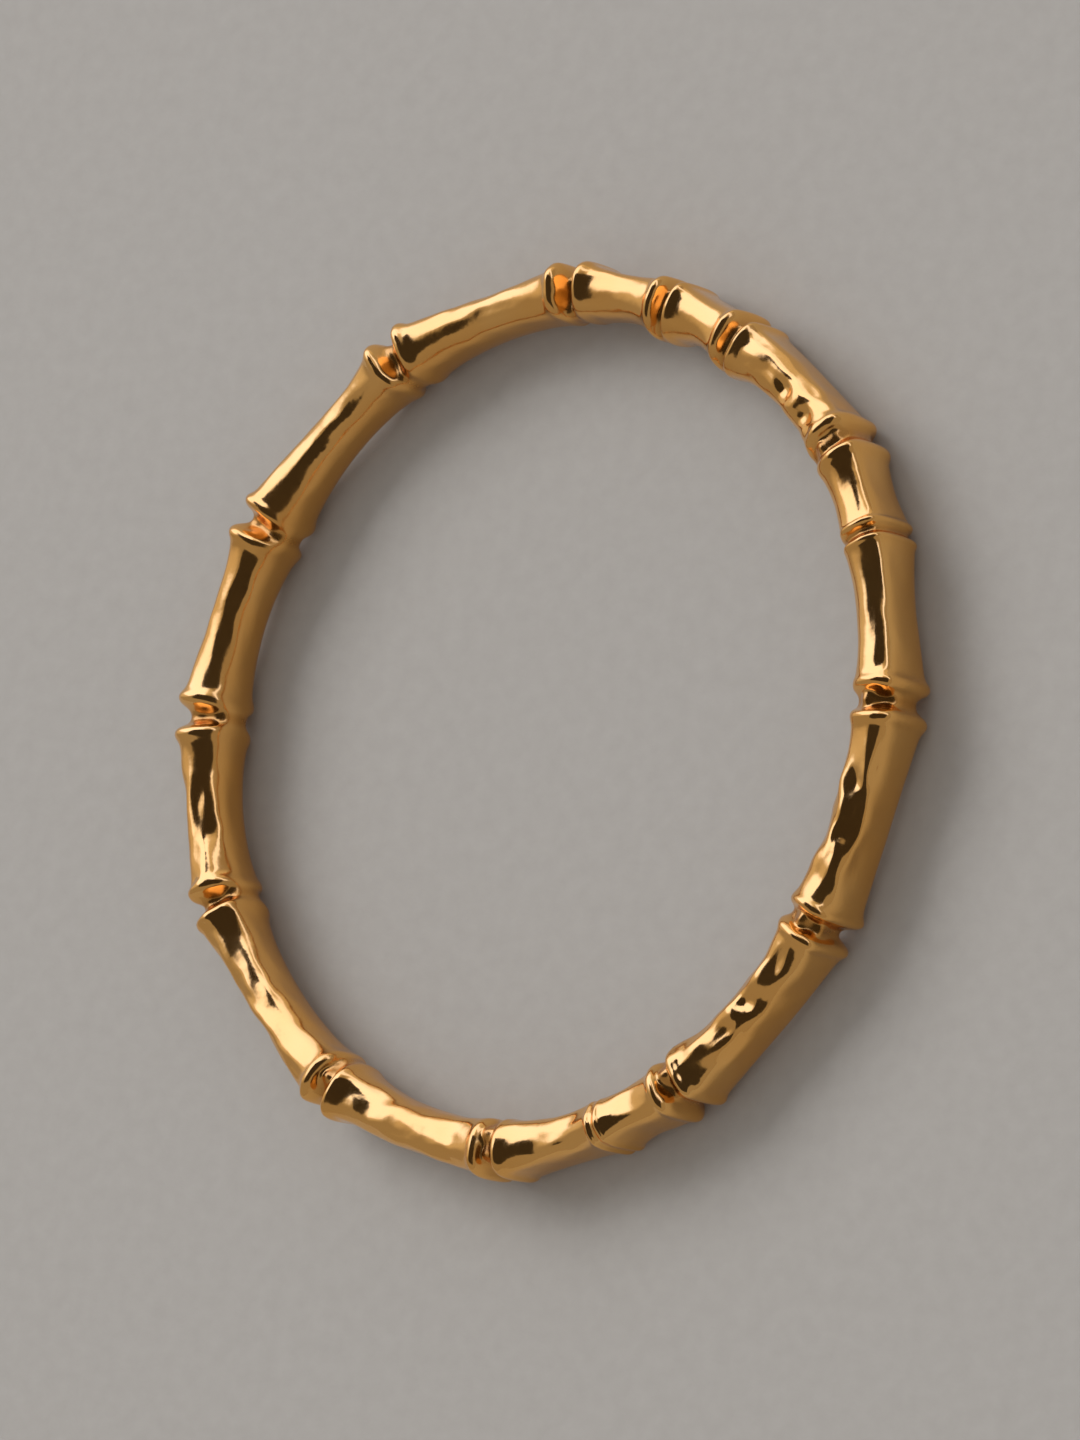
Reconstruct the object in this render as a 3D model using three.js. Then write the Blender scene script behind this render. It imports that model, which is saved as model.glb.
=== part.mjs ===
import * as THREE from 'three';
import { mergeVertices } from 'three/addons/utils/BufferGeometryUtils.js';

// A slim finger ring cast in one piece as a hoop of bamboo cane. It lies on its side.
// Millimetres, +Z up. The origin is on the axis of the finger hole, level with the lowest faces.

// Driving dimensions.
const BORE_RADIUS = 9.5; // the finger hole
const CANE_RADIUS = 10.1; // from the hoop's axis to the middle of the cane
const MID_HEIGHT = 0.95; // the band's middle above the surface that it lies on
const FLARE_LENGTH = 1.1; // how far a joint's swelling runs along the cane
const FLARE_SLOPE = 0.7; // how steeply it falls right beside the crest
const RIDGE_OFFSET = 0.34; // from a joint's groove to the crest of the ridge on each side
const RIDGE_CREST = 0.16; // length of a crest
const GROOVE_HALF_WIDTH = 0.13;
const GROOVE_DEPTH = 0.14;

// The section is a rounded oblong. A higher power makes squarer corners.
const SECTION_POINTS = 16;
const OUTER_POWER = 2.6;
const INNER_POWER = 3.6;
const MERGE_DISTANCE = 1e-4;

// The cane's joints in order round the hoop. `at` is in degrees from +X. `wide` is along the hoop's
// axis, `deep` is from the bore outwards, and `out` is how far the band stands outside a true circle.
// The waist columns are those of the thin middle of the cane that follows the joint.
const JOINTS = [
  { at: -177.9, wide: 2.02, deep: 1.38, out: 0.02, waistWide: 1.58, waistDeep: 1.12, waistOut: 0.06 },
  { at: -151.4, wide: 2.02, deep: 1.36, out: 0.0, waistWide: 1.54, waistDeep: 1.06, waistOut: -0.08 },
  { at: -116.8, wide: 2.02, deep: 1.46, out: -0.08, waistWide: 1.56, waistDeep: 1.16, waistOut: 0.02 },
  { at: -86.4, wide: 2.02, deep: 1.44, out: 0.1, waistWide: 1.6, waistDeep: 1.08, waistOut: 0.18 },
  { at: -68.4, wide: 1.98, deep: 1.24, out: 0.16, waistWide: 1.64, waistDeep: 1.1, waistOut: 0.1 },
  { at: -56.1, wide: 2.02, deep: 1.36, out: 0.02, waistWide: 1.58, waistDeep: 1.1, waistOut: -0.02 },
  { at: -26.9, wide: 2.02, deep: 1.36, out: -0.12, waistWide: 1.6, waistDeep: 1.12, waistOut: -0.12 },
  { at: 3.3, wide: 2.02, deep: 1.34, out: 0.0, waistWide: 1.6, waistDeep: 1.1, waistOut: 0.0 },
  { at: 25.4, wide: 1.98, deep: 1.24, out: 0.06, waistWide: 1.66, waistDeep: 1.14, waistOut: 0.1 },
  { at: 39.1, wide: 2.02, deep: 1.36, out: 0.12, waistWide: 1.56, waistDeep: 1.12, waistOut: 0.08 },
  { at: 62.2, wide: 2.02, deep: 1.36, out: -0.06, waistWide: 1.72, waistDeep: 1.18, waistOut: -0.04 },
  { at: 75.3, wide: 2.02, deep: 1.36, out: -0.06, waistWide: 1.6, waistDeep: 1.08, waistOut: 0.02 },
  { at: 92.3, wide: 2.02, deep: 1.38, out: 0.0, waistWide: 1.52, waistDeep: 1.02, waistOut: 0.0 },
  { at: 123.3, wide: 2.02, deep: 1.38, out: 0.0, waistWide: 1.46, waistDeep: 0.98, waistOut: 0.0 },
  { at: 154.4, wide: 2.02, deep: 1.38, out: -0.04, waistWide: 1.54, waistDeep: 1.06, waistOut: 0.04 },
];

// Distances from a joint's groove at which the band has a section of its own.
const CREST_START = RIDGE_OFFSET - RIDGE_CREST / 2;
const CREST_END = RIDGE_OFFSET + RIDGE_CREST / 2;
const FLARE_STATIONS = [0, GROOVE_HALF_WIDTH, CREST_START, CREST_END, 0.65, 1.0, 1.6];

const goldMaterial = new THREE.MeshStandardMaterial({
  color: 0xd9a458,
  metalness: 1.0,
  roughness: 0.12,
});

const MM_PER_DEGREE = THREE.MathUtils.degToRad(1) * CANE_RADIUS;

// The length of cane, in millimetres, from joint i to the next one round the hoop.
function caneLength(i) {
  const next = JOINTS[(i + 1) % JOINTS.length];
  const turn = (next.at - JOINTS[i].at + 360) % 360;
  return turn * MM_PER_DEGREE;
}

// How much of a joint's swelling is left at a distance from its groove: 1 at the crest, 0 at the waist.
function swelling(distance) {
  const past = Math.max(0, distance - CREST_END) / FLARE_LENGTH;
  return Math.exp(-past * (FLARE_SLOPE + past));
}

// 1 at a joint and 0 half way along the cane, with no kink at either.
function nearness(share) {
  return 0.5 + 0.5 * Math.cos(2 * Math.PI * share);
}

// How deep the groove between a joint's two ridges is at a distance from its middle.
function grooveCut(distance) {
  if (distance >= CREST_START) return 0;
  if (distance <= GROOVE_HALF_WIDTH / 2) return GROOVE_DEPTH;
  return GROOVE_DEPTH * (CREST_START - distance) / (CREST_START - GROOVE_HALF_WIDTH / 2);
}

// The band's section at a distance along the cane that follows joint i.
function sectionAt(i, along) {
  const joint = JOINTS[i];
  const fromJoint = along < caneLength(i) / 2;
  const nearest = fromJoint ? joint : JOINTS[(i + 1) % JOINTS.length];
  const distance = fromJoint ? along : caneLength(i) - along;
  const swell = swelling(distance);
  const cut = grooveCut(distance);
  return {
    angle: THREE.MathUtils.degToRad(joint.at + along / MM_PER_DEGREE),
    wide: THREE.MathUtils.lerp(joint.waistWide, nearest.wide, swell) - 2 * cut,
    deep: THREE.MathUtils.lerp(joint.waistDeep, nearest.deep, swell) - cut,
    out: THREE.MathUtils.lerp(joint.waistOut, nearest.out, nearness(distance / caneLength(i))),
  };
}

// Every section round the hoop: close together at the joints, and one at the middle of each cane.
function allSections() {
  const sections = [];
  JOINTS.forEach((joint, i) => {
    const half = caneLength(i) / 2;
    const near = FLARE_STATIONS.filter((distance) => distance < half);
    const far = near.slice(1).reverse();
    near.forEach((distance) => sections.push(sectionAt(i, distance)));
    sections.push(sectionAt(i, half));
    far.forEach((distance) => sections.push(sectionAt(i, caneLength(i) - distance)));
  });
  return sections;
}

// A point of the rounded oblong, from -1 to 1 each way.
function roundedOblong(turn) {
  const power = Math.cos(turn) < 0 ? INNER_POWER : OUTER_POWER;
  const spread = (value) => Math.sign(value) * Math.abs(value) ** (2 / power);
  return { out: spread(Math.cos(turn)), up: spread(Math.sin(turn)) };
}

// A torus whose rings of vertices are moved to the sections. What would reach below the surface is
// flat, so the joints stand on small worn lands.
function bandGeometry() {
  const sections = allSections();
  const torus = new THREE.TorusGeometry(BORE_RADIUS, 1, SECTION_POINTS, sections.length);
  const positions = torus.getAttribute('position');
  for (let around = 0; around <= SECTION_POINTS; around += 1) {
    const turn = 2 * Math.PI * (around % SECTION_POINTS) / SECTION_POINTS;
    const corner = roundedOblong(turn);
    for (let station = 0; station <= sections.length; station += 1) {
      const section = sections[station % sections.length];
      const radius = BORE_RADIUS + section.out + section.deep * (1 + corner.out) / 2;
      const height = Math.max(0, MID_HEIGHT + section.wide * corner.up / 2);
      const index = around * (sections.length + 1) + station;
      positions.setXYZ(
        index,
        radius * Math.cos(section.angle),
        radius * Math.sin(section.angle),
        height,
      );
    }
  }
  torus.deleteAttribute('normal');
  torus.deleteAttribute('uv');
  const closed = mergeVertices(torus, MERGE_DISTANCE);
  closed.computeVertexNormals();
  return closed;
}

const band = new THREE.Mesh(bandGeometry(), goldMaterial);
band.name = 'bamboo_band';

const ring = new THREE.Group();
ring.name = 'bamboo_ring';
ring.add(band);

export default ring;
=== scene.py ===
import math

import bpy
from mathutils import Matrix, Vector


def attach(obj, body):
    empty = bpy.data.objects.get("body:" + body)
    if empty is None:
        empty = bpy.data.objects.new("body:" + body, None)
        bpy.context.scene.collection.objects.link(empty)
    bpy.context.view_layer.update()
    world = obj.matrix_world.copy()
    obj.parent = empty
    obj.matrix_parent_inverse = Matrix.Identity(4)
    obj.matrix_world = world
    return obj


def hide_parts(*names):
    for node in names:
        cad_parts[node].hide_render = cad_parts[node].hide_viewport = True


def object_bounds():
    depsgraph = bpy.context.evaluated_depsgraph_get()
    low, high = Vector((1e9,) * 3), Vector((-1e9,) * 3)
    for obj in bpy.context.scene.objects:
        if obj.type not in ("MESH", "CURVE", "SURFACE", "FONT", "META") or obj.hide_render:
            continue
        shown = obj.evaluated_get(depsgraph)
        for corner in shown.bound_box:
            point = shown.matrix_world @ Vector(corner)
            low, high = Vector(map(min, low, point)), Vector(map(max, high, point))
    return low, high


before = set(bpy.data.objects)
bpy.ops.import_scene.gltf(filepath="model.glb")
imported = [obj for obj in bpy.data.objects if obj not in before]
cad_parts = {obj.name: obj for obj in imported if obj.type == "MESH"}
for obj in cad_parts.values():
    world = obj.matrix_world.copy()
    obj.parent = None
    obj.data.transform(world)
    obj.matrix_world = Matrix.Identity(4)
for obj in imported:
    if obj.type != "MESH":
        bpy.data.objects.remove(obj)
cad_low, cad_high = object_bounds()

# ---------------------------------------------------------------------------
# Sizes. The band is modelled in millimetres and brought to metres at the end.
# ---------------------------------------------------------------------------
MM = 0.001
BORE_RADIUS = 9.5  # the finger hole
CANE_RADIUS = 10.1  # from the hoop's axis to the middle of the cane
BAND_MIDDLE = 0.95  # height of the band's middle above the table
HOOP_LENGTH = 2 * math.pi * CANE_RADIUS
MM_PER_DEGREE = HOOP_LENGTH / 360
SEAM_GAP = 0.002  # where the bent stick meets itself, points closer than this become one
SAME_PLACE = 1e-6

# The section, before the joints and waists stretch it. Its outer corners are the tighter ones.
STOCK_DEEP = 1.2
STOCK_WIDE = 1.7
STOCK_EDGE = 0.49 * STOCK_DEEP  # farther than this from the middle are only the corners of one side
OUTER_ROUNDING = 0.42
BORE_ROUNDING = 0.58
ROUNDING_STEPS = 3

# The cane's joints, in order round the hoop.
#   at: degrees round the hoop
#   wide, deep: along the hoop's axis, and from the bore outwards
#   out: how far the joint stands outside a true circle
#   fore, aft: how far its flare runs towards the next joint, and back towards the last one
#   size: how long its groove and beads are along the cane, 1 being usual
#   lobe: how far it swells into the bore
#   top_cut, face_cut: its groove's depth on the upper side, and on the outer face
#   waist_...: the thin middle of the cane before the next joint
JOINT_COLUMNS = (
    "at", "wide", "deep", "out", "fore", "aft", "size", "lobe", "top_cut", "face_cut",
    "waist_wide", "waist_deep", "waist_out",
)
JOINT_ROWS = (
    (-177.9, 1.77, 1.26, 0.02, 1.1, 1.3, 1.25, 0.14, 0.28, 0.12, 1.50, 1.08, 0.07),
    (-151.4, 1.77, 1.25, 0.00, 1.2, 1.2, 1.15, 0.14, 0.28, 0.12, 1.48, 1.02, -0.05),
    (-116.8, 1.77, 1.33, -0.06, 1.0, 1.3, 1.1, 0.12, 0.28, 0.16, 1.44, 1.12, 0.03),
    (-86.4, 1.77, 1.31, 0.10, 0.9, 1.2, 1.0, 0.08, 0.26, 0.18, 1.56, 1.06, 0.16),
    (-68.4, 1.88, 1.16, 0.13, 0.2, 0.2, 0.4, 0.03, 0.02, 0.02, 1.60, 1.08, 0.10),
    (-56.1, 1.77, 1.25, 0.02, 1.3, 0.9, 1.0, 0.10, 0.28, 0.16, 1.54, 1.08, -0.02),
    (-26.9, 1.77, 1.25, -0.12, 1.1, 1.3, 1.05, 0.12, 0.30, 0.22, 1.56, 1.10, -0.12),
    (3.3, 1.77, 1.23, 0.00, 1.2, 1.2, 1.15, 0.08, 0.34, 0.03, 1.56, 1.08, 0.00),
    (25.4, 1.82, 1.22, 0.06, 0.8, 0.8, 0.6, 0.08, 0.14, 0.04, 1.60, 1.12, 0.08),
    (39.1, 1.77, 1.25, 0.12, 1.2, 1.0, 1.1, 0.14, 0.28, 0.06, 1.54, 1.10, 0.08),
    (62.2, 1.77, 1.25, -0.06, 0.8, 1.1, 0.9, 0.22, 0.26, 0.12, 1.66, 1.08, 0.02),
    (75.3, 1.77, 1.25, -0.06, 0.9, 0.8, 0.9, 0.22, 0.30, 0.12, 1.56, 1.04, 0.04),
    (92.3, 1.76, 1.26, 0.00, 1.1, 1.0, 1.2, 0.08, 0.38, 0.14, 1.48, 1.00, 0.00),
    (123.3, 1.77, 1.27, 0.00, 0.9, 1.5, 1.25, 0.12, 0.32, 0.14, 1.42, 0.95, 0.01),
    (154.4, 1.77, 1.27, -0.04, 1.1, 1.7, 1.2, 0.14, 0.32, 0.12, 1.48, 1.02, 0.05),
)
JOINTS = [dict(zip(JOINT_COLUMNS, row)) for row in JOINT_ROWS]

# Each side of a joint, from the middle of its groove: how far out along the cane, what share of the
# groove's depth is taken off the section there, and what share of the bead's height is put on.
GROOVE_COLUMNS = ("along", "share", "bead")
GROOVE_ROWS = (
    (0.0, 1.0, 0.0),
    (0.09, 0.94, 0.0),
    (0.16, 0.60, 0.2),
    (0.22, 0.22, 0.7),
    (0.30, 0.0, 1.0),
    (0.40, 0.0, 0.95),
    (0.48, 0.0, 0.4),
    (0.58, 0.0, 0.0),
)
GROOVE = [dict(zip(GROOVE_COLUMNS, row)) for row in GROOVE_ROWS]
BEAD = 0.10  # how far the bead round a cane's end stands up from the flare
BORE_CUT = 0.5  # the groove on the bore side, as a share of the one on the outer face
CREST = 0.40  # how far from the middle of its groove a joint keeps its full width
LOBE_REACH = 0.5  # how far along the cane a lobe runs on each side of its joint
FLARE_SLOPE = 0.7  # how steeply a flare falls right beside the crest
SECTION_STEP = 0.38  # between sections along the plain cane

# Stretches where the upper side is left uneven: from low to high, in degrees round the hoop, and the
# share of UNEVEN_HEIGHT. The stick's two ends are left even, so that they meet.
UNEVEN_COLUMNS = ("low", "high", "share")
UNEVEN_ROWS = (
    (-172, 177, 0.3),
    (-54, -32, 1.0),
    (-22, -4, 1.0),
    (41, 59, 0.8),
    (-172, -154, 0.6),
    (-149, -120, 0.6),
    (-114, -89, 0.55),
    (-84, -59, 0.45),
)
UNEVEN_ABOVE = 0.1  # what of the stick, above its middle, counts as the upper side
UNEVEN_FADE = 6  # how many times the edges of the stretches are softened
UNEVEN_HEIGHT = 0.3
UNEVEN_LENGTH = 0.9
UNEVEN_WIDTH = 0.35

# Single touches on the upper side. at: degrees round the hoop. across: 0 at the bore, 1 at the outer
# edge. lift: how far it is raised or, if negative, sunk. reach: how wide a touch it is.
TOUCH_COLUMNS = ("at", "across", "lift", "reach")
TOUCH_ROWS = (
    # pits in the middle of the deep grooves
    (92.3, 0.45, -0.14, 0.40),
    (123.3, 0.45, -0.10, 0.40),
    (154.4, 0.45, -0.10, 0.40),
    (-177.9, 0.45, -0.08, 0.40),
    (-151.4, 0.45, -0.08, 0.40),
    # small beads that lie in the grooves
    (39.1, 0.50, 0.26, 0.30),
    (39.4, 0.80, 0.16, 0.26),
    (3.3, 0.40, 0.26, 0.32),
    (-26.9, 0.45, 0.26, 0.32),
    (-27.2, 0.80, 0.14, 0.26),
    (-56.1, 0.45, 0.24, 0.30),
    (-86.4, 0.45, 0.28, 0.34),
    (-86.2, 0.80, 0.20, 0.30),
    (-116.8, 0.40, 0.22, 0.30),
    # cane ends that stand up at one corner
    (94.6, 0.75, 0.03, 0.40),
    (89.8, 0.75, 0.04, 0.40),
    (120.8, 0.80, 0.02, 0.40),
    (125.7, 0.80, 0.04, 0.35),
    (152.0, 0.85, 0.04, 0.35),
    (156.7, 0.85, 0.04, 0.35),
    (-54.0, 0.30, 0.04, 0.35),
    (-24.6, 0.35, 0.04, 0.40),
    # notches and crests on the cane from 39 to 62 degrees
    (50.0, 0.52, -0.17, 0.42),
    (47.2, 0.40, 0.06, 0.35),
    (45.0, 0.55, -0.17, 0.38),
    (42.8, 0.40, 0.08, 0.35),
    (56.0, 0.55, 0.05, 0.60),
    # lumpy crowns on both sides of the joint at -26.9 degrees
    (-8.0, 0.55, -0.08, 0.45),
    (-11.0, 0.30, 0.06, 0.40),
    (-14.5, 0.60, -0.09, 0.45),
    (-18.0, 0.35, 0.06, 0.45),
    (-21.0, 0.65, -0.07, 0.40),
    (-34.0, 0.50, -0.10, 0.40),
    (-37.0, 0.35, 0.05, 0.45),
    (-40.5, 0.50, -0.14, 0.35),
    (-42.5, 0.30, 0.07, 0.35),
    (-44.5, 0.55, -0.12, 0.40),
    (-49.0, 0.35, 0.07, 0.55),
    # longer dips along the crowns from -60 to -110 degrees
    (-62.0, 0.55, -0.05, 0.50),
    (-79.0, 0.70, -0.05, 0.50),
    (-93.0, 0.60, -0.06, 0.50),
    (-100.0, 0.40, 0.05, 0.50),
    (-108.0, 0.35, -0.07, 0.55),
)
TOUCHED_ABOVE = BAND_MIDDLE + 0.3

# Patina and painted shade in the hollows, where polish reaches less and the gold is a little rougher. The
# bore counts from BORE_EDGE outside its radius, and fully BORE_FADE farther in. A groove counts if it is
# cut deeper than SHALLOW_CUT.
BORE_SHADE_AND_PATINA = 0.35
BORE_EDGE = 0.25
BORE_FADE = 0.2
GROOVE_REACH = 0.26
SHALLOW_CUT = 0.1


# ---------------------------------------------------------------------------
# Small helpers for working by hand
# ---------------------------------------------------------------------------
def deselect_everything():
    bpy.ops.object.select_all(action="DESELECT")


def edit(piece):
    if bpy.context.mode != "OBJECT":
        bpy.ops.object.mode_set(mode="OBJECT")
    deselect_everything()
    piece.select_set(True)
    bpy.context.view_layer.objects.active = piece
    bpy.ops.object.mode_set(mode="EDIT")


def done_editing():
    bpy.ops.object.mode_set(mode="OBJECT")


def pick_vertices(piece, wanted):
    """Goes into edit mode and selects the vertices whose place passes the test."""
    edit(piece)
    bpy.ops.mesh.select_mode(type="VERT")
    bpy.ops.mesh.select_all(action="DESELECT")
    bpy.ops.object.mode_set(mode="OBJECT")
    for vertex in piece.data.vertices:
        vertex.select = wanted(vertex.co)
    bpy.ops.object.mode_set(mode="EDIT")


# ---------------------------------------------------------------------------
# The band: a straight stick of cane, bent into a hoop
# ---------------------------------------------------------------------------
def joint_after(i):
    return JOINTS[(i + 1) % len(JOINTS)]


def length_after(i):
    return ((joint_after(i)["at"] - JOINTS[i]["at"]) % 360) * MM_PER_DEGREE


def swelling(distance, joint, flare):
    """How much of a joint's extra width is left at a distance from it: 1 at the crest, 0 at the waist."""
    past = max(0.0, distance - CREST * joint["size"]) / flare
    return math.exp(-past * (FLARE_SLOPE + past))


def mix(a, b, share):
    return a + (b - a) * share


def section(i, along, share=0.0, bead=0.0):
    """The section at a distance along the cane after joint i, with shares of its groove and bead."""
    joint = JOINTS[i]
    whole = length_after(i)
    if along <= whole / 2:
        near, distance, flare = joint, along, joint["fore"]
    else:
        near, distance, flare = joint_after(i), whole - along, joint_after(i)["aft"]
    swell = swelling(distance, near, flare)
    closeness = 0.5 + 0.5 * math.cos(2 * math.pi * along / whole)
    raised = bead * BEAD * near["size"]
    bore = BORE_RADIUS + mix(joint["waist_out"], near["out"], closeness)
    outer = bore + mix(joint["waist_deep"], near["deep"], swell) - share * near["face_cut"] + raised
    bore -= near["lobe"] * math.exp(-((distance / LOBE_REACH) ** 2))
    bore += share * near["face_cut"] * BORE_CUT
    wide = mix(joint["waist_wide"], near["wide"], swell) - 2 * (share * near["top_cut"] - raised)
    return {
        "x": joint["at"] * MM_PER_DEGREE + along,
        "wide": wide,
        "deep": outer - bore,
        "middle": (outer + bore) / 2,
    }


def groove_of(joint):
    """The rows of GROOVE, drawn out or in to the joint's size."""
    return [(row["along"] * joint["size"], row["share"], row["bead"]) for row in GROOVE]


def all_sections():
    """Sections from the first joint's groove once round to the same groove again."""
    sections = []
    for i in range(len(JOINTS)):
        whole = length_after(i)
        leaving = groove_of(JOINTS[i])
        arriving = groove_of(joint_after(i))
        start = leaving[-1][0]
        plain = whole - start - arriving[-1][0]
        steps = round(plain / SECTION_STEP)
        sections += [section(i, *row) for row in leaving]
        sections += [section(i, start + plain * step / steps) for step in range(1, steps)]
        sections += [section(i, whole - row[0], *row[1:]) for row in reversed(arriving[1:])]
    first = dict(sections[0])
    first["x"] += HOOP_LENGTH
    return sections + [first]


def draw_first_section(first):
    """A flat plate stood across the cane, its corners rounded and its face taken out."""
    bpy.ops.mesh.primitive_plane_add(size=1, location=(0, 0, 0), rotation=(0, math.pi / 2, 0))
    stick = bpy.context.object
    stick.name = "bamboo_hoop"
    bpy.ops.object.transform_apply(location=False, rotation=True, scale=False)
    bpy.ops.object.mode_set(mode="EDIT")
    bpy.ops.transform.resize(value=(1, STOCK_DEEP, STOCK_WIDE))
    for side, rounding in ((1, BORE_ROUNDING), (-1, OUTER_ROUNDING)):
        pick_vertices(stick, lambda place: side * place.y > STOCK_EDGE)
        bpy.ops.mesh.bevel(
            offset=rounding,
            offset_type="OFFSET",
            segments=ROUNDING_STEPS,
            affect="VERTICES",
            profile=0.5,
        )
    bpy.ops.mesh.select_all(action="SELECT")
    bpy.ops.mesh.delete(type="ONLY_FACE")
    bpy.ops.mesh.select_all(action="SELECT")
    bpy.ops.transform.resize(value=(1, first["deep"] / STOCK_DEEP, first["wide"] / STOCK_WIDE))
    bpy.ops.transform.translate(value=(first["x"], CANE_RADIUS - first["middle"], 0))
    return stick


def grow_stick():
    """Extrudes the section along the cane. The bore side faces +Y, which the bend turns inwards."""
    sections = all_sections()
    stick = draw_first_section(sections[0])
    for last, following in zip(sections, sections[1:]):
        step = (following["x"] - last["x"], last["middle"] - following["middle"], 0)
        bpy.ops.mesh.extrude_edges_move(TRANSFORM_OT_translate={"value": step})
        bpy.ops.transform.resize(
            value=(1, following["deep"] / last["deep"], following["wide"] / last["wide"]),
            center_override=(following["x"], CANE_RADIUS - following["middle"], 0),
        )
    done_editing()
    return stick


def weigh_stretches(stick):
    """Makes the vertex group that says how uneven each part is left. Returns its name."""
    worked = stick.vertex_groups.new(name="worked")
    tools = bpy.context.scene.tool_settings
    for row in UNEVEN_ROWS:
        stretch = dict(zip(UNEVEN_COLUMNS, row))
        low, high = stretch["low"] * MM_PER_DEGREE, stretch["high"] * MM_PER_DEGREE
        pick_vertices(stick, lambda place: place.z > UNEVEN_ABOVE and low <= place.x <= high)
        tools.vertex_group_weight = stretch["share"]
        bpy.ops.object.vertex_group_assign()
    bpy.ops.mesh.select_all(action="SELECT")
    bpy.ops.object.vertex_group_smooth(
        group_select_mode="ACTIVE", factor=0.5, repeat=UNEVEN_FADE, expand=0
    )
    done_editing()
    return worked.name


def leave_hand_work(stick):
    """The soft unevenness of hand finishing, drawn out along the cane, stronger in some stretches."""
    worked = weigh_stretches(stick)
    bpy.ops.object.empty_add(location=(0, 0, 0))
    grid = bpy.context.object
    grid.scale = (UNEVEN_LENGTH, UNEVEN_WIDTH, UNEVEN_WIDTH)
    grain = bpy.data.textures.new("hand_work", "CLOUDS")
    grain.noise_scale = 1.0
    grain.noise_depth = 2
    uneven = stick.modifiers.new("uneven", "DISPLACE")
    uneven.texture = grain
    uneven.texture_coords = "OBJECT"
    uneven.texture_coords_object = grid
    uneven.vertex_group = worked
    uneven.strength = UNEVEN_HEIGHT
    bpy.context.view_layer.objects.active = stick
    bpy.ops.object.modifier_apply(modifier=uneven.name)
    bpy.data.objects.remove(grid)


def make_finer(piece):
    finer = piece.modifiers.new("finer", "SUBSURF")
    finer.levels = finer.render_levels = 1
    bpy.context.view_layer.objects.active = piece
    bpy.ops.object.modifier_apply(modifier=finer.name)


def bend_into_hoop(stick):
    bend = stick.modifiers.new("bend", "SIMPLE_DEFORM")
    bend.deform_method = "BEND"
    bend.deform_axis = "Z"
    bend.angle = 2 * math.pi
    bpy.ops.object.modifier_apply(modifier=bend.name)
    edit(stick)
    bpy.ops.mesh.select_all(action="SELECT")
    bpy.ops.mesh.remove_doubles(threshold=SEAM_GAP)
    bpy.ops.transform.translate(value=(0, -CANE_RADIUS, BAND_MIDDLE))
    bpy.ops.transform.rotate(
        value=-math.pi / 2, orient_axis="Z", center_override=(0, 0, BAND_MIDDLE)
    )
    bpy.ops.mesh.normals_make_consistent(inside=False)
    done_editing()


def touch_up(hoop):
    """Raises and sinks the upper side, one touch after another."""
    for row in TOUCH_ROWS:
        touch = dict(zip(TOUCH_COLUMNS, row))
        angle = math.radians(touch["at"])
        radius = mix(BORE_RADIUS, BORE_RADIUS + STOCK_DEEP, touch["across"])
        target = Vector((radius * math.cos(angle), radius * math.sin(angle)))
        upper = [vertex for vertex in hoop.data.vertices if vertex.co.z > TOUCHED_ABOVE]
        nearest = min(upper, key=lambda vertex: (vertex.co.xy - target).length)
        lift = nearest.normal * touch["lift"]
        place = nearest.co.copy()
        pick_vertices(hoop, lambda other: (other - place).length < SAME_PLACE)
        bpy.ops.transform.translate(
            value=lift,
            use_proportional_edit=True,
            proportional_edit_falloff="SMOOTH",
            proportional_size=touch["reach"],
        )
        done_editing()


def press_lands(hoop):
    """Presses flat what would stand below the table."""
    pick_vertices(hoop, lambda place: place.z < 0)
    bpy.ops.transform.resize(value=(1, 1, 0), center_override=(0, 0, 0))
    done_editing()


def shade_and_patina_at(place):
    """How much patina and painted shade a place gets: 1 in the middle of a groove, less inside the bore,
    and 0 on the open faces.
    """
    angle = math.degrees(math.atan2(place.y, place.x))
    inside = (BORE_RADIUS + BORE_EDGE - place.xy.length) / BORE_FADE
    hollow_share = BORE_SHADE_AND_PATINA * min(1, max(0, inside))
    for joint in JOINTS:
        away = abs((angle - joint["at"] + 180) % 360 - 180) * MM_PER_DEGREE
        reach = GROOVE_REACH * joint["size"]
        if joint["top_cut"] > SHALLOW_CUT and away < reach:
            hollow_share = max(hollow_share, 0.5 + 0.5 * math.cos(math.pi * away / reach))
    return hollow_share


def mark_shade_and_patina(hoop):
    # Keeps on every vertex how much patina and painted shade it gets.
    mark = hoop.data.attributes.new("shade_and_patina_mask", "FLOAT", "POINT")
    for vertex in hoop.data.vertices:
        mark.data[vertex.index].value = shade_and_patina_at(vertex.co)


def bring_to_metres(piece):
    piece.scale = (MM, MM, MM)
    bpy.ops.object.transform_apply(location=False, rotation=False, scale=True)


def model_hoop():
    hoop = grow_stick()
    make_finer(hoop)
    leave_hand_work(hoop)
    bend_into_hoop(hoop)
    touch_up(hoop)
    make_finer(hoop)
    press_lands(hoop)
    # Lays on the mask for patina and painted shade.
    mark_shade_and_patina(hoop)
    bring_to_metres(hoop)
    bpy.ops.object.shade_smooth()
    return hoop


# ---------------------------------------------------------------------------
# Materials
# ---------------------------------------------------------------------------
GOLD_TINTS = ((1.0, 0.56, 0.175), (0.98, 0.52, 0.145))
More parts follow.
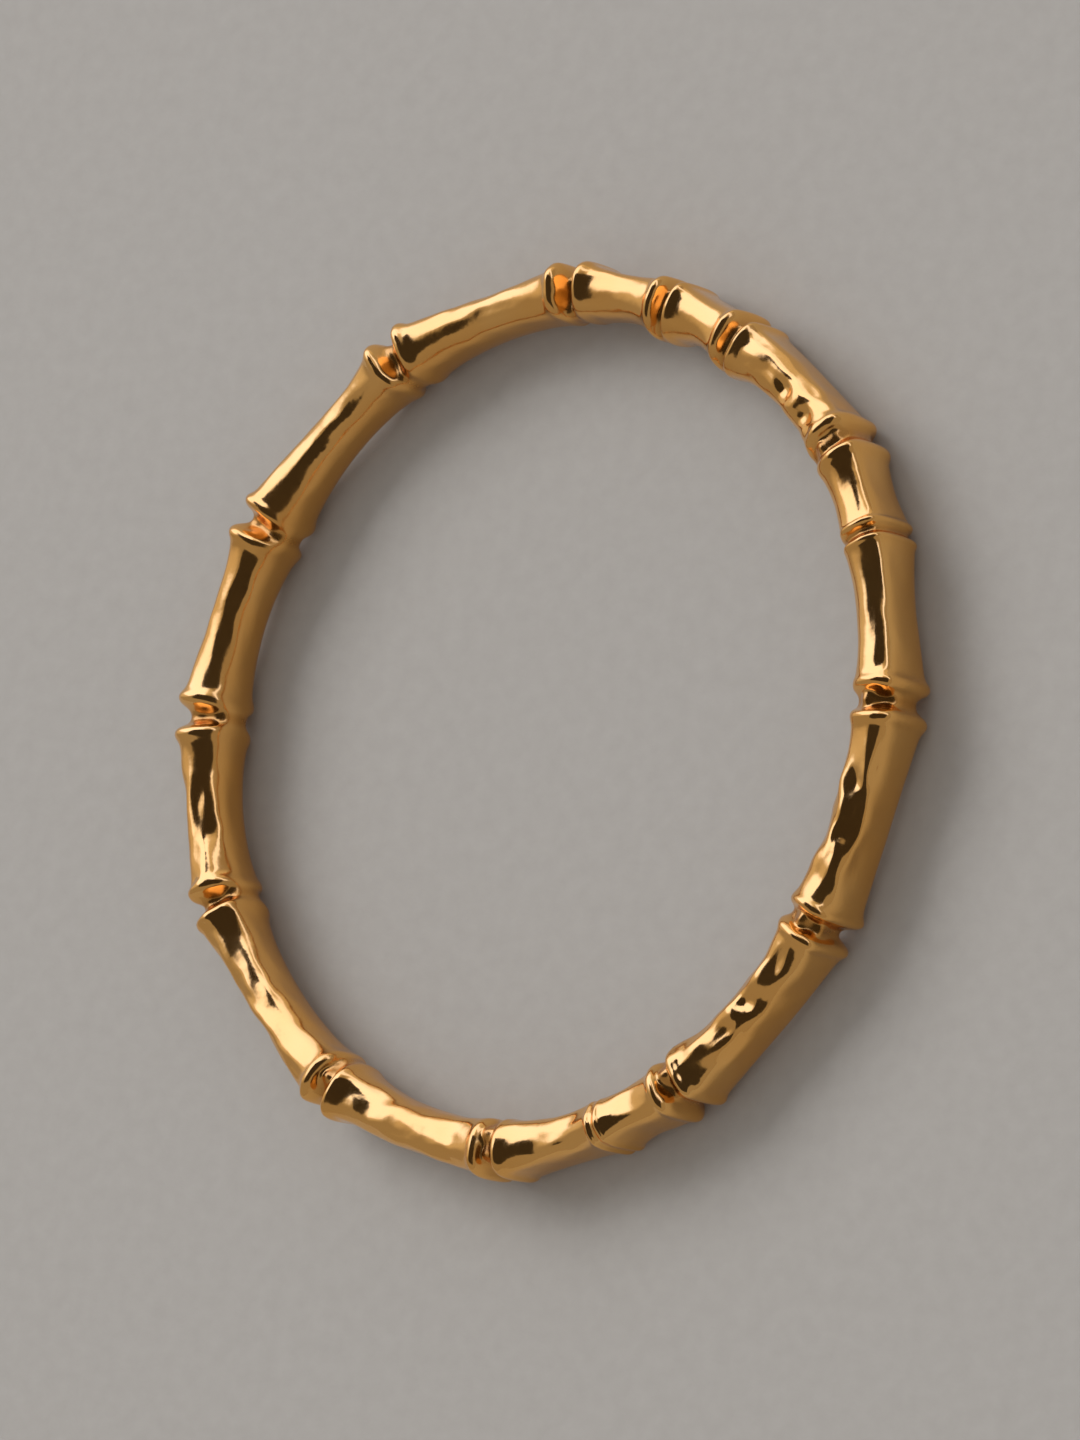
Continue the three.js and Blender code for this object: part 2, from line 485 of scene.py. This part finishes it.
# Patina and painted shade: the darker, redder colour laid into the grooves and inside the bore.
GROOVE_PATINA_AND_SHADE = (0.60, 0.27, 0.06)
PATINA_AND_SHADE_SHARE = 0.75  # how much of the colour of patina and painted shade shows where the metal is most sheltered
SHELTER_DULLING = 0.12  # how much rougher it is there
STROKE_STRETCH = (1, 1, 0.35)  # polishing strokes run along the hoop's axis
STROKE_SHARE = 0.12
GOLD_RELIEF = 0.000008
TABLE_SHADES = ((0.343, 0.326, 0.304), (0.367, 0.350, 0.328))
TABLE_ROUGHNESS = 0.75
TABLE_RELIEF = 0.00001

# The sockets that a Mix node uses for colours.
MIX_FACTOR, MIX_FIRST, MIX_SECOND = 0, 6, 7
MIX_RESULT = 2


def new_material(name):
    material = bpy.data.materials.new(name)
    material.use_nodes = True
    nodes = material.node_tree.nodes
    return material, nodes, material.node_tree.links, nodes["Principled BSDF"]


def maths(nodes, links, operation, first, second=None):
    node = nodes.new("ShaderNodeMath")
    node.operation = operation
    for socket, value in zip(node.inputs, (first, second)):
        if isinstance(value, (int, float)):
            socket.default_value = value
        elif value is not None:
            links.new(value, socket)
    return node.outputs["Value"]


def blend(nodes, links, share, first, second):
    """Goes from the first colour to the second. Each is a colour or another node's output."""
    node = nodes.new("ShaderNodeMix")
    node.data_type = "RGBA"
    links.new(share, node.inputs[MIX_FACTOR])
    for number, value in ((MIX_FIRST, first), (MIX_SECOND, second)):
        if isinstance(value, tuple):
            node.inputs[number].default_value = (*value, 1)
        else:
            links.new(value, node.inputs[number])
    return node.outputs[MIX_RESULT]


def noise(nodes, links, place, scale, detail, stretch=None):
    """A noise on Object coordinates. Its scale is in waves to the metre."""
    if stretch:
        mapping = nodes.new("ShaderNodeMapping")
        mapping.inputs["Scale"].default_value = stretch
        links.new(place, mapping.inputs["Vector"])
        place = mapping.outputs["Vector"]
    texture = nodes.new("ShaderNodeTexNoise")
    texture.inputs["Scale"].default_value = scale
    texture.inputs["Detail"].default_value = detail
    links.new(place, texture.inputs["Vector"])
    return texture.outputs["Fac"]


def spread(nodes, links, value, low, high, low_value, high_value):
    """Maps low..high on to low_value..high_value."""
    ranged = nodes.new("ShaderNodeMapRange")
    ranged.inputs["From Min"].default_value = low
    ranged.inputs["From Max"].default_value = high
    ranged.inputs["To Min"].default_value = low_value
    ranged.inputs["To Max"].default_value = high_value
    links.new(value, ranged.inputs["Value"])
    return ranged.outputs["Result"]


def relief(nodes, links, height, distance, shader):
    bump = nodes.new("ShaderNodeBump")
    bump.inputs["Strength"].default_value = 1.0
    bump.inputs["Distance"].default_value = distance
    links.new(height, bump.inputs["Height"])
    links.new(bump.outputs["Normal"], shader.inputs["Normal"])


def gold_colour(nodes, links, place, depth):
    clouds = noise(nodes, links, place, scale=450, detail=2)
    clouds = spread(nodes, links, clouds, low=0.35, high=0.65, low_value=0, high_value=1)
    tint = blend(nodes, links, clouds, *GOLD_TINTS)
    # Patina and painted shade darken the grooves and the bore.
    patina_and_shade = maths(nodes, links, "MULTIPLY", depth, PATINA_AND_SHADE_SHARE)
    return blend(nodes, links, patina_and_shade, tint, GROOVE_PATINA_AND_SHADE)


def gold_roughness(nodes, links, place, depth):
    cloudy = noise(nodes, links, place, scale=900, detail=3)
    cloudy = spread(nodes, links, cloudy, low=0.3, high=0.7, low_value=0.09, high_value=0.17)
    fine = noise(nodes, links, place, scale=14000, detail=2)
    fine = spread(nodes, links, fine, low=0.3, high=0.7, low_value=-0.02, high_value=0.02)
    open_face = maths(nodes, links, "ADD", cloudy, fine)
    return maths(nodes, links, "ADD", open_face, maths(nodes, links, "MULTIPLY", depth, SHELTER_DULLING))


def gold_height(nodes, links, place):
    ripple = noise(nodes, links, place, scale=2600, detail=2)
    strokes = noise(nodes, links, place, scale=9000, detail=2, stretch=STROKE_STRETCH)
    return maths(nodes, links, "ADD", ripple, maths(nodes, links, "MULTIPLY", strokes, STROKE_SHARE))


def polished_gold():
    """Bright on the faces, a little duller and redder down in the grooves and inside the bore, where
    patina and painted shade are laid on.
    """
    material, nodes, links, shader = new_material("polished_gold")
    shader.inputs["Metallic"].default_value = 1.0
    place = nodes.new("ShaderNodeTexCoord").outputs["Object"]
    # Reads the mask of patina and painted shade.
    shade_and_patina_mask = nodes.new("ShaderNodeAttribute")
    shade_and_patina_mask.attribute_name = "shade_and_patina_mask"
    depth = shade_and_patina_mask.outputs["Fac"]
    links.new(gold_colour(nodes, links, place, depth), shader.inputs["Base Color"])
    links.new(gold_roughness(nodes, links, place, depth), shader.inputs["Roughness"])
    relief(nodes, links, gold_height(nodes, links, place), GOLD_RELIEF, shader)
    return material


def pale_table():
    """A matt pale board with a faint grain."""
    material, nodes, links, shader = new_material("pale_table")
    shader.inputs["Roughness"].default_value = TABLE_ROUGHNESS
    place = nodes.new("ShaderNodeTexCoord").outputs["Object"]
    grain = noise(nodes, links, place, scale=2200, detail=4)
    share = spread(nodes, links, grain, low=0.25, high=0.75, low_value=0, high_value=1)
    links.new(blend(nodes, links, share, *TABLE_SHADES), shader.inputs["Base Color"])
    relief(nodes, links, grain, TABLE_RELIEF, shader)
    return material


# ---------------------------------------------------------------------------
# The studio. Azimuths and elevations are in degrees.
# ---------------------------------------------------------------------------
TABLE_SIDE = 3.0
CAMERA_TO_RING = 0.208
CAMERA_AZIMUTH, CAMERA_ELEVATION = -10.3, 49.9
CAMERA_UP = Vector((0.0, 0.979, 0.205))
LENS = 221
SOFTBOX_AZIMUTH, SOFTBOX_ELEVATION = 148, 38
SOFTBOX_DISTANCE = 1.5
SOFTBOX_SIZE = (1.1, 0.85)
SOFTBOX_WATTS = 19

PLAIN_GREY = (0.60, 0.58, 0.56)  # the room that lights everything matt
BEYOND_TABLE = (0.40, 0.38, 0.36)  # what is seen past the table's edge

# What the polished gold reflects: a grey room with softboxes, and a dark ceiling over the camera.
# azimuth and elevation say where a patch's middle is. half_wide and half_high are its half sizes and
# soft its blurred edge, all as seen one unit away. Each patch is laid over the last.
ROOM_GREY = (0.31, 0.285, 0.26)
PATCH_COLUMNS = ("azimuth", "elevation", "half_wide", "half_high", "soft", "colour")
PATCH_ROWS = (
    (125, 25, 1.4, 0.9, 0.5, (0.60, 0.57, 0.54)),
    (125, 38, 0.66, 0.50, 0.16, (1.35, 1.52, 2.45)),
    (-10, 72, 0.80, 0.93, 0.05, (0.035, 0.03, 0.026)),
    (62, 26, 0.9, 0.09, 0.03, (1.2, 1.35, 2.2)),
)
BARELY_AHEAD = 0.001  # keeps the division from running away for directions beside or behind a patch


def towards(azimuth, elevation):
    a, e = math.radians(azimuth), math.radians(elevation)
    return Vector((math.cos(a) * math.cos(e), math.sin(a) * math.cos(e), math.sin(e)))


def add_table():
    deselect_everything()
    bpy.ops.mesh.primitive_plane_add(size=TABLE_SIDE, location=(0, 0, 0))
    table = bpy.context.object
    table.name = "table"
    table.data.materials.append(pale_table())


def add_camera():
    data = bpy.data.cameras.new("camera")
    data.lens = LENS
    data.clip_start, data.clip_end = 0.01, 5.0
    camera = bpy.data.objects.new("camera", data)
    bpy.context.scene.collection.objects.link(camera)
    middle = (cad_low + cad_high) / 2
    back = towards(CAMERA_AZIMUTH, CAMERA_ELEVATION)
    right = CAMERA_UP.cross(back).normalized()
    up = back.cross(right)
    turn = Matrix((right, up, back)).transposed().to_4x4()
    camera.matrix_world = Matrix.Translation(middle + back * CAMERA_TO_RING) @ turn
    bpy.context.scene.camera = camera


def add_softbox():
    """Lights what is matt. The room's patches stand in for it in the polished gold."""
    data = bpy.data.lights.new("high_softbox", "AREA")
    data.shape = "RECTANGLE"
    data.size, data.size_y = SOFTBOX_SIZE
    data.energy = SOFTBOX_WATTS
    softbox = bpy.data.objects.new("high_softbox", data)
    bpy.context.scene.collection.objects.link(softbox)
    way = towards(SOFTBOX_AZIMUTH, SOFTBOX_ELEVATION)
    softbox.location = way * SOFTBOX_DISTANCE
    softbox.rotation_euler = way.to_track_quat("Z", "Y").to_euler()
    softbox.visible_camera = False
    softbox.visible_glossy = False


def along_way(nodes, links, direction, way):
    """How far the direction looked in runs along a fixed way."""
    product = nodes.new("ShaderNodeVectorMath")
    product.operation = "DOT_PRODUCT"
    product.inputs[1].default_value = way
    links.new(direction, product.inputs[0])
    return product.outputs["Value"]


def patch_share(nodes, links, direction, patch):
    """1 inside the rectangle that the patch is, falling to 0 at its soft edge."""
    way = towards(patch["azimuth"], patch["elevation"])
    across = Vector((0, 0, 1)).cross(way).normalized()
    ahead = maths(nodes, links, "MAXIMUM", along_way(nodes, links, direction, way), BARELY_AHEAD)
    shares = []
    for axis, half in ((across, patch["half_wide"]), (way.cross(across), patch["half_high"])):
        aside = maths(nodes, links, "DIVIDE", along_way(nodes, links, direction, axis), ahead)
        edge = nodes.new("ShaderNodeMapRange")
        edge.interpolation_type = "SMOOTHSTEP"
        edge.inputs["From Min"].default_value = half + patch["soft"]
        edge.inputs["From Max"].default_value = half - patch["soft"]
        links.new(maths(nodes, links, "ABSOLUTE", aside), edge.inputs["Value"])
        shares.append(edge.outputs["Result"])
    return maths(nodes, links, "MULTIPLY", *shares)


def add_room():
    """An even pale room. What is polished also sees its dark ceiling and its softboxes."""
    world = bpy.data.worlds.new("room")
    bpy.context.scene.world = world
    world.use_nodes = True
    nodes, links = world.node_tree.nodes, world.node_tree.links
    direction = nodes.new("ShaderNodeTexCoord").outputs["Generated"]
    tone = ROOM_GREY
    for row in PATCH_ROWS:
        patch = dict(zip(PATCH_COLUMNS, row))
        tone = blend(nodes, links, patch_share(nodes, links, direction, patch), tone, patch["colour"])
    ray = nodes.new("ShaderNodeLightPath")
    lit = blend(nodes, links, ray.outputs["Is Glossy Ray"], PLAIN_GREY, tone)
    seen = blend(nodes, links, ray.outputs["Is Camera Ray"], lit, BEYOND_TABLE)
    links.new(seen, nodes["Background"].inputs["Color"])


add_table()
add_camera()
add_room()
bpy.context.scene.view_settings.view_transform = "Standard"
add_softbox()

hoop = model_hoop()
hoop.data.materials.append(polished_gold())
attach(hoop, "root")
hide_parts("bamboo_band")
